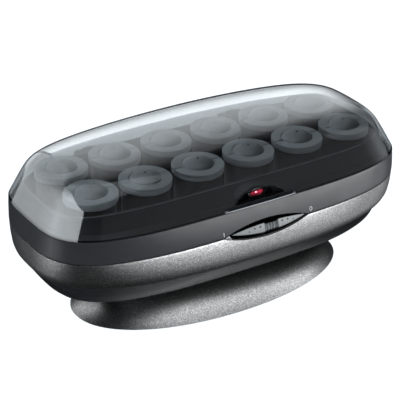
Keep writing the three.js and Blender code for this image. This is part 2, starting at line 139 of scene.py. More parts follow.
SWITCH_X, SWITCH_HALF, SWITCH_HIGH = 7.0, 41.0, 7.4
FLOOR_HALF, FLOOR_HIGH = 43.0, 9.5
SLIDE, STEM_HALF, STEM_GAP = 8.0, 3.0, 1.5
PAD_X, PAD_HALF, PAD_FRONT = 9.6, 33.6, -79.3
PAD_BULGE, PAD_BROW = 2.4, 1.9
PAD_TOP, PAD_FOLD, PAD_FOOT = 2.9, 3.6, 6.0
GRIP_X, GRIP_HALF, GRIP_DEPTH, RIB_PITCH = 11.4, 6.3, 1.9, 2.6
PAD_DOTS = ((10.3, 0.8, 0.9), (15.4, 0.7, 0.7), (20.6, 0.55, -0.5))  # distance out, radius, lift
SWITCH_CUT = (-95.0, -66.0)
MARK_OFF_X, MARK_OFF_Z = 49.2, 85.8


# --- mesh helpers


def add(name, data):
    """A new object in the scene."""
    obj = bpy.data.objects.new(name, data)
    bpy.context.scene.collection.objects.link(obj)
    return obj


def make(name, vertices, faces, sharp=35.0):
    """A smooth-shaded object from millimetre vertices, with edges over `sharp` degrees kept crisp."""
    mesh = bpy.data.meshes.new(name)
    mesh.from_pydata([tuple(float(c) * MM for c in v) for v in vertices], [], faces)
    mesh.update()
    mesh.validate()
    obj = add(name, mesh)
    shade(obj, sharp)
    return obj


def shade(obj, sharp):
    obj.data.shade_smooth()
    obj.data.set_sharp_from_angle(angle=math.radians(sharp))


def round_angles(count):
    return np.linspace(0.0, 2.0 * math.pi, count, endpoint=False)


def superellipse(a, b, n, z, inset=0.0):
    """Points evenly spaced along |x/a|^n + |y/b|^n = 1, anticlockwise from +X."""
    a, b = a - inset, b - inset
    t = np.linspace(0.0, 2.0 * math.pi, 4001)
    c, s = np.cos(t), np.sin(t)
    x = a * np.sign(c) * np.abs(c) ** (2.0 / n)
    y = b * np.sign(s) * np.abs(s) ** (2.0 / n)
    run = np.concatenate([[0.0], np.cumsum(np.hypot(np.diff(x), np.diff(y)))])
    even = np.linspace(0.0, run[-1], OUTLINE_POINTS, endpoint=False)
    return np.stack([np.interp(even, run, x), np.interp(even, run, y), np.full(OUTLINE_POINTS, z)], 1)


def section_at(keys, z):
    """The outline (a, b, n) at height z, on a smooth curve through the keys."""
    keys = np.array(keys)
    heights = keys[:, 0]
    slopes = np.gradient(keys[:, 1:], heights, axis=0)
    k = int(np.clip(np.searchsorted(heights, z) - 1, 0, len(heights) - 2))
    step = heights[k + 1] - heights[k]
    t = np.clip((z - heights[k]) / step, 0.0, 1.0)
    h00, h10 = 2 * t**3 - 3 * t**2 + 1, t**3 - 2 * t**2 + t
    h01, h11 = 3 * t**2 - 2 * t**3, t**3 - t**2
    value = h00 * keys[k, 1:] + h10 * step * slopes[k]
    value = value + h01 * keys[k + 1, 1:] + h11 * step * slopes[k + 1]
    return dict(a=value[0], b=value[1], n=value[2], z=z)


def between(low, high, z):
    """The straight blend of two outlines at height z."""
    t = (z - low["z"]) / (high["z"] - low["z"])
    return {key: low[key] + (high[key] - low[key]) * t for key in low}


def loft(loops, closed=False):
    """Quads through loops of equal length; the ends are capped unless the loops close on themselves."""
    count = len(loops[0])
    vertices = [tuple(p) for loop in loops for p in loop]
    faces = []
    bands = len(loops) if closed else len(loops) - 1
    for k in range(bands):
        low, high = k * count, ((k + 1) % len(loops)) * count
        for i in range(count):
            j = (i + 1) % count
            faces.append((low + i, low + j, high + j, high + i))
    if not closed:
        faces.append(tuple(reversed(range(count))))
        faces.append(tuple(range((len(loops) - 1) * count, len(loops) * count)))
    return vertices, faces


def fillet(points, radii, steps=4, closed=True):
    """Rounds the corners of a flat polyline, each by its own radius."""
    result = []
    last = len(points) - 1
    for i, (corner, radius) in enumerate(zip(points, radii)):
        corner = Vector(corner)
        if radius <= 0 or (not closed and i in (0, last)):
            result.append(tuple(corner))
            continue
        before = Vector(points[i - 1]) - corner
        after = Vector(points[(i + 1) % len(points)]) - corner
        reach = min(radius, 0.49 * before.length, 0.49 * after.length)
        start = corner + before.normalized() * reach
        end = corner + after.normalized() * reach
        for k in range(steps + 1):
            t = k / steps
            p = start * (1 - t) ** 2 + corner * 2 * t * (1 - t) + end * t**2
            result.append(tuple(p))
    return result


def lathe(name, profile, x=0.0, y=0.0, points=ROUND_POINTS):
    """Turns a profile of (radius, z) pairs that closes on itself or runs from axis to axis."""
    on_axis = profile[0][0] < 1e-6 and profile[-1][0] < 1e-6
    ring = [p for p in profile if p[0] >= 1e-6]
    turn = round_angles(points)
    loops = [np.stack([x + r * np.cos(turn), y + r * np.sin(turn), np.full(points, z)], 1) for r, z in ring]
    vertices, faces = loft(loops, closed=not on_axis)
    if on_axis:
        faces = faces[:-2]
        vertices += [(x, y, profile[0][1]), (x, y, profile[-1][1])]
        bottom, top = len(vertices) - 2, len(vertices) - 1
        start = (len(ring) - 1) * points
        for i in range(points):
            j = (i + 1) % points
            faces.append((bottom, j, i))
            faces.append((top, start + i, start + j))
    return make(name, vertices, faces)


def rounded_box(name, low, high, radius):
    """A box between two corners with rounded edges."""
    low, high = Vector(low), Vector(high)
    corners = [
        (low.x if i & 1 else high.x, low.y if i & 2 else high.y, low.z if i & 4 else high.z)
        for i in range(8)
    ]
    quads = [(0, 2, 6, 4), (1, 5, 7, 3), (0, 4, 5, 1), (2, 3, 7, 6), (0, 1, 3, 2), (4, 6, 7, 5)]
    obj = make(name, corners, quads)
    bevel(obj, radius)
    outward(obj)
    return obj


def solid(name, loops, closed=False, sharp=35.0):
    """A solid lofted through loops, with its faces turned outwards."""
    obj = make(name, *loft(loops, closed), sharp)
    outward(obj)
    return obj


def prism_y(name, outline, y0, y1):
    """Extrudes a closed list of (x, z) points along Y."""
    return solid(name, [[(x, y, z) for x, z in outline] for y in (y1, y0)])


def outward(obj):
    """Turns every face of a closed mesh outwards."""
    work = bmesh.new()
    work.from_mesh(obj.data)
    bmesh.ops.recalc_face_normals(work, faces=work.faces)
    work.to_mesh(obj.data)
    work.free()


def apply_modifiers(obj, sharp=35.0):
    graph = bpy.context.evaluated_depsgraph_get()
    made = bpy.data.meshes.new_from_object(obj.evaluated_get(graph))
    obj.modifiers.clear()
    obj.data = made
    shade(obj, sharp)


def bevel(obj, radius):
    """Rounds every edge that is bent by over 30 degrees."""
    change = obj.modifiers.new("bevel", "BEVEL")
    change.width = radius * MM
    change.segments = 3
    change.limit_method = "ANGLE"
    change.angle_limit = math.radians(30.0)
    apply_modifiers(obj)


def boolean(obj, tools, operation="DIFFERENCE", sharp=35.0):
    """Cuts or joins the tools, which are used up."""
    for tool in tools:
        change = obj.modifiers.new("cut", "BOOLEAN")
        change.object = tool
        change.operation = operation
        change.solver = "EXACT"
    bpy.context.view_layer.update()
    apply_modifiers(obj, sharp)
    for tool in tools:
        bpy.data.objects.remove(tool)


def almond(x, z, half, high):
    """Two arcs that meet in points at both ends, as a closed list of (x, z)."""
    t = np.linspace(-1.0, 1.0, 48)
    lower = [(x + half * s, z - high * (1 - s * s)) for s in t[:-1]]
    upper = [(x - half * s, z + high * (1 - s * s)) for s in t[:-1]]
    return lower + upper


def cylinder_x(name, radius, x0, x1, edge=0.5):
    """A cylinder about the hinge line, with rounded ends."""
    outline = fillet([(0, x0), (radius, x0), (radius, x1), (0, x1)], [0, edge, edge, 0], closed=False)
    obj = lathe(name, outline, points=48)
    for v in obj.data.vertices:
        across, up, along = v.co
        v.co = (along, HINGE_Y * MM + across, HINGE_Z * MM + up)
    outward(obj)
    return obj


def cylinder_y(name, profile, x, z, points=48):
    """Turns a profile of (radius, y) pairs about a line along Y through x, z."""
    obj = lathe(name, profile, points=points)
    for v in obj.data.vertices:
        across, up, along = v.co
        v.co = (x * MM + across, along, z * MM + up)
    outward(obj)
    return obj


def place(obj, body, material, *nodes, slot=None):
    """Rides a finished piece on its body, gives it its material and hides the frame nodes it replaces.

    The slot argument is not used. Blender adds a number to the material's name, because the frame has such
    a material too.
    """
    obj.data.materials.clear()
    obj.data.materials.append(material)
    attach(obj, body)
    if nodes:
        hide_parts(*nodes)


# --- materials


def color_ramp(tree, factor, stops):
    """A ramp through (position, colour or grey level) stops."""
    node = tree.nodes.new("ShaderNodeValToRGB")
    while len(node.color_ramp.elements) < len(stops):
        node.color_ramp.elements.new(0.5)
    for element, (at, color) in zip(node.color_ramp.elements, stops):
        element.position = at
        element.color = (*color, 1.0) if isinstance(color, tuple) else (color, color, color, 1.0)
    tree.links.new(factor, node.inputs["Fac"])
    return node.outputs["Color"]


class Shader:
    """A Principled material with helpers for the textures that feed it."""

    def __init__(self, name, color, roughness, metallic=0.0, **sockets):
        self.material = bpy.data.materials.new(name)
        self.material.use_nodes = True
        self.tree = self.material.node_tree
        self.surface = self.tree.nodes["Principled BSDF"]
        self.surface.inputs["Base Color"].default_value = (*color, 1.0)
        self.surface.inputs["Roughness"].default_value = roughness
        self.surface.inputs["Metallic"].default_value = metallic
        for socket, value in sockets.items():
            self.surface.inputs[socket.replace("_", " ")].default_value = value
        self.place = self.node("TexCoord")

    def node(self, kind, **sockets):
        """A new node with values on its sockets, written with _ for a space."""
        node = self.tree.nodes.new("ShaderNode" + kind)
        for socket, value in sockets.items():
            node.inputs[socket.replace("_", " ")].default_value = value
        return node

    def link(self, output, node, socket):
        self.tree.links.new(output, node.inputs[socket])

    def noise(self, scale, detail=2.0):
        node = self.node("TexNoise", Scale=scale, Detail=detail)
        self.link(self.place.outputs["Object"], node, "Vector")
        return node.outputs["Fac"]

    def flakes(self, scale):
        node = self.node("TexVoronoi", Scale=scale)
        self.link(self.place.outputs["Object"], node, "Vector")
        split = self.node("SeparateColor")
        self.link(node.outputs["Color"], split, "Color")
        return split.outputs["Red"]

    def ramp(self, factor, stops):
        return color_ramp(self.tree, factor, stops)

    def feed(self, socket, output):
        self.link(output, self.surface, socket)

    def bump(self, height, strength, distance):
        node = self.node("Bump", Strength=strength, Distance=distance)
        self.link(height, node, "Height")
        self.feed("Normal", node.outputs["Normal"])


def moulded(name, color, roughness, grain=2500.0, strength=0.12, **sockets):
    """Moulded plastic: a fine grain, a slightly uneven gloss and a trace of colour drift."""
    shader = Shader(name, color, roughness, **sockets)
    darker, lighter = (tuple(c * share for c in color) for share in (0.9, 1.1))
    shader.feed("Base Color", shader.ramp(shader.noise(18.0, 3.0), [(0.3, darker), (0.7, lighter)]))
    gloss = [(0.3, roughness * 0.88), (0.7, roughness * 1.12)]
    shader.feed("Roughness", shader.ramp(shader.noise(90.0, 4.0), gloss))
    shader.bump(shader.noise(grain, 2.0), strength, 0.00008)
    return shader.material


def speckled_silver():
    """Silver paint with fine dark and bright flakes."""
    shader = Shader("speckled_silver", (0.3, 0.31, 0.31), 0.36, 1.0)
    stops = [
        (0.0, (0.17, 0.175, 0.18)),
        (0.5, (0.25, 0.255, 0.26)),
        (0.85, (0.33, 0.335, 0.34)),
        (1.0, (0.45, 0.45, 0.45)),
    ]
    shader.feed("Base Color", shader.ramp(shader.flakes(1800.0), stops))
    shader.feed("Roughness", shader.ramp(shader.noise(700.0, 3.0), [(0.3, 0.33), (0.7, 0.41)]))
    shader.bump(shader.noise(1500.0, 2.0), 0.12, 0.0001)
    return shader.material


def smoked_clear():
    """Smoked clear plastic, polished, darker where the light runs along inside the wall."""
    shader = Shader("smoked_clear", (0.45, 0.47, 0.48), 0.0, IOR=1.45, Transmission_Weight=1.0)
    facing = shader.node("LayerWeight", Blend=0.5)
    stops = [
        (0.0, (0.47, 0.49, 0.5)),
        (0.52, (0.43, 0.45, 0.46)),
        (0.67, (0.2, 0.21, 0.22)),
        (0.9, (0.04, 0.044, 0.05)),
    ]
    shader.feed("Base Color", shader.ramp(facing.outputs["Facing"], stops))
    shader.feed("Roughness", shader.ramp(shader.noise(40.0, 3.0), [(0.35, 0.0), (0.75, 0.02)]))
    return shader.material


def velvet():
    """Short dark flock."""
    shader = Shader("velvet", (0.03, 0.03, 0.032), 0.95, Sheen_Weight=0.3, Sheen_Roughness=0.5)
    stops = [(0.3, (0.016, 0.016, 0.018)), (0.7, (0.045, 0.045, 0.048))]
    shader.feed("Base Color", shader.ramp(shader.noise(1400.0, 3.0), stops))
    shader.bump(shader.noise(2200.0, 3.0), 0.6, 0.0003)
    return shader.material


def brushed_steel(name, color, roughness):
    """Bare metal with fine uneven polish."""
    shader = Shader(name, color, roughness, 1.0)
    polish = [(0.3, roughness * 0.7), (0.7, roughness * 1.4)]
    shader.feed("Roughness", shader.ramp(shader.noise(1200.0, 4.0), polish))
    shader.bump(shader.noise(3000.0, 2.0), 0.1, 0.00005)
    return shader.material


def red_lens():
    """Red plastic over a lamp, with a painted highlight in its upper half and painted shade and dark
    reflection in its lower one.
    """
    shader = Shader("red_lens", (0.45, 0.02, 0.05), 0.1, Coat_Weight=0.8, Coat_Roughness=0.05)
    # painted light: the colour runs from dark low down (painted shade) to bright red high up (painted
    # highlight), plus a little noise
    height = shader.node("SeparateXYZ")
    shader.link(shader.place.outputs["Object"], height, "Vector")
    rise = shader.node("MapRange", From_Min=(LENS.z - 0.6) * MM, From_Max=(LENS.z + 2.2) * MM)
    shader.link(height.outputs["Z"], rise, "Value")
    painted_light_and_noise = shader.node("Math")
    painted_light_and_noise.operation = "MULTIPLY_ADD"
    painted_light_and_noise.inputs[1].default_value = 0.3
    shader.link(shader.noise(260.0, 2.0), painted_light_and_noise, 0)
    shader.link(rise.outputs["Result"], painted_light_and_noise, 2)
    stops = [(0.15, (0.02, 0.008, 0.01)), (0.6, (0.25, 0.012, 0.03)), (0.95, (0.5, 0.03, 0.065))]
    shader.feed("Base Color", shader.ramp(painted_light_and_noise.outputs["Value"], stops))
    return shader.material


def rubber():
    shader = Shader("black_rubber", (0.02, 0.02, 0.021), 0.8)
    shader.feed("Roughness", shader.ramp(shader.noise(500.0, 4.0), [(0.3, 0.68), (0.7, 0.9)]))
    shader.bump(shader.noise(1800.0, 3.0), 0.3, 0.0001)
    return shader.material


SPECKLED = speckled_silver()
SMOKED = smoked_clear()
VELVET = velvet()
STEEL = brushed_steel("steel", (0.6, 0.61, 0.62), 0.28)
ALUMINIUM = brushed_steel("aluminium", (0.7, 0.7, 0.71), 0.4)
CHROME = brushed_steel("chrome", (0.5, 0.52, 0.53), 0.16)
RED = red_lens()
RUBBER = rubber()
BAND = moulded("satin_grey_band", (0.0285, 0.031, 0.035), 0.36, Specular_IOR_Level=0.4)
BELLY = moulded("dark_grey_case", (0.0145, 0.0165, 0.0185), 0.3, Specular_IOR_Level=0.4)
BLACK = moulded("black_plastic", (0.012, 0.014, 0.0165), 0.34, Specular_IOR_Level=0.4)
# near-black: the own colour of small black parts, and also painted shade in the seam, window edge, slots,
# dimples and switch recess
DEEP_BLACK = moulded("seam_black", (0.002, 0.002, 0.002), 0.8, Specular_IOR_Level=0.1)
POST = moulded("post_grey", (0.13, 0.134, 0.14), 0.42)
RING = moulded("ring_grey", (0.31, 0.318, 0.33), 0.62, grain=1500.0, strength=0.35)
PAD = moulded("switch_grey", (0.13, 0.143, 0.15), 0.36)
CERAMIC = moulded("ceramic", (0.8, 0.78, 0.74), 0.6)
WHITE = moulded("mark_white", (0.8, 0.8, 0.8), 0.5)


# --- case


def ring_of(path):
    """A closed ring from (outline, inset) pairs that go round its cross-section."""
    return loft([superellipse(**outline, inset=inset) for outline, inset in path], closed=True)


def wall_path(section, z0, z1, edge, steps=10):
    """Round the cross-section of a wall: up the outside, over the top, down the inside."""
    corners = fillet(
        [(0.0, z0), (0.0, z1), (WALL, z1), (WALL, z0)], [edge, edge, edge * 0.6, edge * 0.6], 3
    )
    path = []
    for (inset, z), (next_inset, next_z) in zip(corners, corners[1:] + corners[:1]):
        pieces = steps if abs(next_z - z) > 4.0 else 1
        for k in range(pieces):
            t = k / pieces
            height = z + (next_z - z) * t
            path.append((section(height), inset + (next_inset - inset) * t))
    return path


def band_section(z):
    section = between(SEAM, RIM, z)
    swell = 1.0 - ((2.0 * z - SEAM["z"] - RIM["z"]) / (RIM["z"] - SEAM["z"])) ** 2
    section["b"] += BAND_SWELL * max(swell, 0.0)
    return section


def band_face_y(x, z):
    """Where the front of the band is at x, z."""
    s = band_section(z)
    return -s["b"] * (1.0 - abs(x / s["a"]) ** s["n"]) ** (1.0 / s["n"])


def switch_cutter(grow=0.0):
    outline = almond(SWITCH_X, SEAM["z"], SWITCH_HALF + grow, SWITCH_HIGH + grow)
    return prism_y("cutter", outline, *SWITCH_CUT)


def base_knuckles(middle):
    """The ends of the two base knuckles of one hinge."""
    near = LID_KNUCKLE / 2 + KNUCKLE_GAP
    return [(middle - near - BASE_KNUCKLE, middle - near), (middle + near, middle + near + BASE_KNUCKLE)]


def upper_band():
    low, high = SEAM["z"] + SEAM_GAP, RIM["z"]
    obj = make("case_upper_band", *ring_of(wall_path(band_section, low, high, 0.45)))
    cutters = [switch_cutter()]
    for middle in (-HINGE_X, HINGE_X):
        half = LID_KNUCKLE / 2 + KNUCKLE_GAP
        cutters.append(cylinder_x("cutter", HINGE_CLEARANCE, middle - half, middle + half, edge=0.0))
    boolean(obj, cutters)
    place(obj, "case", BAND, "upper_band")
    for side, middle in HINGES:
        for which, (x0, x1) in zip("ab", base_knuckles(middle)):
            knuckle = cylinder_x(f"hinge_base_{side}_{which}", HINGE_R, x0, x1)
            place(knuckle, "case", BAND)
        half = LID_KNUCKLE / 2 + KNUCKLE_GAP + BASE_KNUCKLE + 0.2
        pin = cylinder_x(f"hinge_pin_{side}_turned", PIN_R, middle - half, middle + half, edge=0.4)
        place(pin, "case", STEEL, f"hinge_pin_{side}")


def shell_section(z):
    section = section_at(SHELL_KEYS, z)
    section["a"] -= SHELL_INSET
    section["b"] -= SHELL_INSET
    return section


def lower_shell():
    path = wall_path(shell_section, SHELL_KEYS[0][0], SEAM["z"] - SEAM_GAP, 0.25, steps=14)
    obj = make("case_lower_shell", *ring_of(path))
    profile = [(0, 60), (BUSH_HOLE_R, 60), (BUSH_HOLE_R, 90), (0, 90)]
    bush_hole = cylinder_y("cutter", profile, BUSH_X, BUSH_Z)
    boolean(obj, [switch_cutter(), bush_hole])
    place(obj, "case", SPECKLED, "lower_shell")
    # a near-black sheet behind the seam gap: painted shade that makes the gap read dark
    shade_liner = ring_of(
        [(dict(SEAM, z=z), inset) for z, inset in ((80.5, 1.0), (83.5, 1.0), (83.5, 2.2), (80.5, 2.2))]
    )
    obj = make("seam_liner", *shade_liner)
    boolean(obj, [switch_cutter(0.5)])
    place(obj, "case", DEEP_BLACK, slot="black_plastic")


def rim_seal():
    """The thin dark seal that the lid closes on."""
    corners = fillet([(0.45, 100.5), (0.45, 101.25), (2.2, 101.25), (2.2, 100.5)], [0.2] * 4, 2)
    obj = make("rim_seal", *ring_of([(dict(RIM, z=z), inset) for inset, z in corners]))
    cutters = [
        cylinder_x("cutter", HINGE_CLEARANCE, middle - SEAL_BREAK, middle + SEAL_BREAK, edge=0.0)
        for _, middle in HINGES
    ]
    boolean(obj, cutters)
    place(obj, "case", DEEP_BLACK, slot="black_rubber")


def belly():
    """The dark underside of the case, with a rolled lower edge."""
    (bottom, a, b, n), top = BELLY_KEYS[0], BELLY_KEYS[-1][0]
    outer = [superellipse(**section_at(BELLY_KEYS, z)) for z in np.linspace(bottom, top, 16)]
    roll = [
        superellipse(a, b, n, z, inset)
        for inset, z in ((9.0, 37.0), (5.0, 37.1), (3.0, 37.35), (1.5, 37.8), (0.5, 38.4))
    ]
    inner = [superellipse(**section_at(BELLY_KEYS, z), inset=WALL) for z in (top, 47.0, 40.5)]
    under = superellipse(a, b, n, bottom + 0.5, 12.0)
    obj = make("case_belly", *loft(roll + outer + inner + [under]))
    place(obj, "case", BELLY, "belly_pan")


def pedestal():
    """A hollow flare from a narrow waist to the table, with a rounded foot edge."""
    profile = []
    for rise in np.linspace(0.0, 1.0, 26):
        lift = rise**LIFT_POWER
        flare = (1.0 - lift) ** FLARE_POWER
        section = {key: WAIST[key] + (FOOT[key] - WAIST[key]) * flare for key in ("a", "b", "n")}
        section["z"] = FOOT["z"] + 0.5 + (WAIST["z"] - FOOT["z"] - 0.5) * lift
        profile.append(section)
    foot = [superellipse(**dict(profile[0], z=FOOT["z"]), inset=i) for i in (WALL, 1.0)]
    foot += [superellipse(**dict(profile[0], z=FOOT["z"] + 0.15), inset=0.35)]
    outer = [superellipse(**section) for section in profile]
    inner = [superellipse(**section, inset=WALL) for section in reversed(profile)]
    obj = make("pedestal", *loft(foot + outer + inner, closed=True))
    place(obj, "case", SPECKLED, "pedestal_skirt")


def screw_head(name, x, y, z):
    """A countersunk cross-head screw, seen from below."""
    obj = lathe(name, [(0, z + 1.2), (2.6, z + 1.2), (3.4, z + 0.2), (3.2, z), (0, z)][::-1], x, y, 32)
    outward(obj)
    cross = [
        rounded_box("cutter", (x - 2, y - 0.4, z - 1), (x + 2, y + 0.4, z + 0.7), 0.1),
        rounded_box("cutter", (x - 0.4, y - 2, z - 1), (x + 0.4, y + 2, z + 0.7), 0.1),
    ]
    boolean(obj, cross)
    place(obj, "case", STEEL)


def underside():
    """The base plate with its vents and screws, and the rubber feet."""
    rings = [(2.0, 1.5), (2.2, 0.5), (2.7, 0.0), (4.0, 0.0), (4.5, 0.5)]
    obj = make("pedestal_base", *loft([superellipse(**PLATE, z=z, inset=i) for z, i in rings]))
    vents = []
    for column in range(-3, 4):
        x = column * VENT_PITCH
        low, high = (x - VENT_HALF_X, -VENT_HALF_Y, 0), (x + VENT_HALF_X, VENT_HALF_Y, 7)
        vents.append(rounded_box("cutter", low, high, 1.9))
    boolean(obj, vents)
    place(obj, "case", BLACK, "base_plate")
    for k, (x, y) in enumerate(SCREWS):
        screw_head(f"base_screw_{k + 1}", x, y, 1.75)
    for name in ("front_left", "front_right", "rear_left", "rear_right"):
        low, high = (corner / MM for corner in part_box(f"rubber_foot_{name}"))
        middle = (low + high) / 2
        radius = (high.x - low.x) / 2
        profile = [(0, 0.7), (3.4, 0.7), (4.0, 0.5), (4.4, 0.05), (radius - 0.9, 0.0)]
        profile += [(radius - 0.3, 0.25), (radius, 0.9), (radius, high.z), (0, high.z)]
        foot = lathe(f"foot_{name}", profile, middle.x, middle.y, 48)
        place(foot, "case", RUBBER, f"rubber_foot_{name}")


def cord_bush():
    """The rubber bush in the back of the shell that the mains lead would come out of."""
    profile = [
        (3.6, 69.8), (9.4, 71.8), (9.4, 75.8), (7.2, 76.2),
        (7.2, 79.2), (6.6, 79.8), (4.4, 79.8), (3.6, 79.2),
    ]
    obj = cylinder_y("cord_bush", profile, BUSH_X, BUSH_Z)
    place(obj, "case", RUBBER, "cord_inlet")


def pad_share(x):
    """1 in the middle of the slider pad, falling to almost 0 at its tips."""
    return max(1.0 - ((x - PAD_X) / PAD_HALF) ** 2, 0.004)


def pad_swell(x):
    """How far the pad's front stands out at x, as a share of PAD_BULGE."""
    return pad_share(x) ** 0.9


# --- lid


def lid_reach(direction, inset):
    """How far along each direction, in shares of the lid's half sizes, its surface lies."""
    height = LID_HEIGHT - inset
    a, b = RIM["a"] - inset, RIM["b"] - inset
    inside = np.zeros(len(direction))
    outside = np.full(len(direction), 2.0)
    for _ in range(44):
        share = (inside + outside) / 2
        x = np.abs(direction[:, 0] * share * a)
        y = np.abs(direction[:, 1] * share * b)
        z = direction[:, 2] * share * height
        crown = np.maximum(height - LID_CROWN * (x / CROWN_X) ** 2, 1.0)
        vault = (y / b) ** VAULT_POWER + (z / crown) ** VAULT_POWER
        lean_a = np.maximum(a - LEAN_X * z / height, 1.0)
        lean_b = np.maximum(b - LEAN_Y * z / height, 1.0)
        walls = (x / lean_a) ** RIM["n"] + (y / lean_b) ** RIM["n"]
        beyond = vault ** (EDGE_POWER / VAULT_POWER) + walls ** (EDGE_POWER / RIM["n"]) > 1.0
        outside = np.where(beyond, share, outside)
        inside = np.where(beyond, inside, share)
    return inside


def lid_loop(latitude, inset):
    lift = math.radians(latitude)
    flat = superellipse(1.0, 1.0, RIM["n"], 0.0)
    direction = flat * math.cos(lift)
    direction[:, 2] = math.sin(lift)
    reach = lid_reach(direction, inset)
    height = direction[:, 2] * reach
    skirt = 1.0 + (1.0 / lid_reach(flat, inset) - 1.0) * (1.0 - height) ** SKIRT_POWER
    return np.stack(
        [
            direction[:, 0] * reach * skirt * (RIM["a"] - inset),
            direction[:, 1] * reach * skirt * (RIM["b"] - inset),
            RIM["z"] + LID_LIFT + height * (LID_HEIGHT - inset),
        ],
        1,
    )


def window_outline(shade_edge=0.0):
    """The arched window in the lid's front, as (x, z) points, drawn in by the painted-shade edge and its
    deeper sill.
    """
    t = np.linspace(0.0, 1.0, 14)
    half = WINDOW_HALF - shade_edge
    bottom = WINDOW_BOTTOM + SILL * shade_edge
    peak = WINDOW_BOTTOM + WINDOW_HEIGHT - shade_edge
    right, left, top = (WINDOW_X + half, bottom), (WINDOW_X - half, bottom), (WINDOW_X, peak)
    bend = 0.8 * half

    def arc(start, middle, end):
        return [
            tuple((1 - s) ** 2 * p + 2 * s * (1 - s) * q + s * s * r for p, q, r in zip(start, middle, end))
            for s in t[:-1]
        ]

    rising = arc(right, (WINDOW_X + bend, peak), top)
    falling = arc(top, (WINDOW_X - bend, peak), left)
    return rising + falling + [left]


def lid():
    latitudes = np.concatenate([np.linspace(0.0, 50.0, 44), np.linspace(51.5, 87.0, 22)])
    outer = [lid_loop(latitude, 0.0) for latitude in latitudes]
    inner = [lid_loop(latitude, WALL) for latitude in reversed(latitudes)]
    obj = make("lid_dome", *loft(inner + outer), 50.0)
    window_trim(obj)
    thumb_lip(obj)
    cutters = [prism_y("cutter", window_outline(), -90.0, -60.0)]
    for _, middle in HINGES:
        for x0, x1 in base_knuckles(middle):
            span = (x0 - KNUCKLE_GAP, x1 + KNUCKLE_GAP)
            cutters.append(cylinder_x("cutter", HINGE_CLEARANCE, *span, edge=0.0))
    boolean(obj, cutters, sharp=50.0)
    place(obj, "lid", SMOKED, "lid_shell")
    for side, middle in HINGES:
        half = LID_KNUCKLE / 2
        lug = cylinder_x(f"hinge_lug_{side}", HINGE_R, middle - half, middle + half)
        arm = rounded_box("arm", (middle - half, 70.6, 101.4), (middle + half, 75.4, 108.5), 0.6)
        boolean(lug, [arm], "UNION")
        place(lug, "lid", BAND, slot="smoked_clear")
    for side, x in HOOKS:
        hook = rounded_box(f"lid_hook_{side}", (x - 2.5, -72.6, 96.5), (x + 2.5, -70.6, 103.5), 0.5)
        place(hook, "lid", BLACK, slot="smoked_clear")


def wall_y(dome, x, z):
    """Where the front of the lid is at x, z."""
    _, point, _, _ = dome.ray_cast(Vector((x * MM, -0.2, z * MM)), Vector((0.0, 1.0, 0.0)))
    return point.y / MM


def window_trim(dome):
    """The black edge of the window, with a deeper sill along the bottom: painted shade along the window's
    cut edge, and a painted shadow line under it.
    """
    loops = []
    for shade_edge, depth in ((0.0, -0.1), (0.0, WALL + 0.1), (SHADE_EDGE, WALL + 0.1), (SHADE_EDGE, -0.1)):
        loops.append([(x, wall_y(dome, x, z) + depth, z) for x, z in window_outline(shade_edge)])
    place(solid("window_trim", loops, True), "lid", DEEP_BLACK, slot="smoked_clear")


def thumb_lip(dome):
    """A slim lip along the lid's front edge to lift it by, with a pale line below it that is a painted
    highlight, and two slots drawn as near-black marks of painted shade.
    """
    spans = (
        ("lid_thumb_lip", BLACK, LIP_HALF, 101.9, 104.3, 0.3, 0.5),
        # the pale line is a painted highlight along the lid's lower edge
        ("lid_lip_line", RING, LIP_HALF + 2.5, 101.45, 101.85, 0.9, 0.4),
    )
    for name, material, half, low, high, out, power in spans:
        loops = []
        for s in np.linspace(-1.0, 1.0, 49):
            x = LIP_X + half * s
            reach = out * max(1.0 - s * s, 0.0) ** power + 0.05
            outer, foot = wall_y(dome, x, high) - reach, wall_y(dome, x, low) - reach
            corners = [(-71.8, low), (foot, low), (outer, high), (-71.8, high)]
            loops.append([(x, y, z) for y, z in fillet(corners, [0, 0.15, 0.15, 0], 3)])
        place(solid(name, loops), "lid", material, slot="smoked_clear")
    # the slots are near-black boxes on the surface: painted shade standing in for their hollows
    for side, x in LIP_SLOTS:
        y = wall_y(dome, x, 103.0)
        low, high = (x - 2.2, y - 0.42, 102.5), (x + 2.2, y + 0.3, 103.3)
        slot = rounded_box(f"lid_lip_slot_{side}", low, high, 0.15)
        place(slot, "lid", DEEP_BLACK, slot="smoked_clear")


# --- tray, lamp and heater


def roller_places():
    """(number, x, y) of every roller: front row first, left to right."""
    places = []
    for row in range(2):
        for column in range(6):
            places.append((f"{len(places) + 1:02d}", (column - 2.5) * PITCH_X, (row - 0.5) * PITCH_Y))
    return places


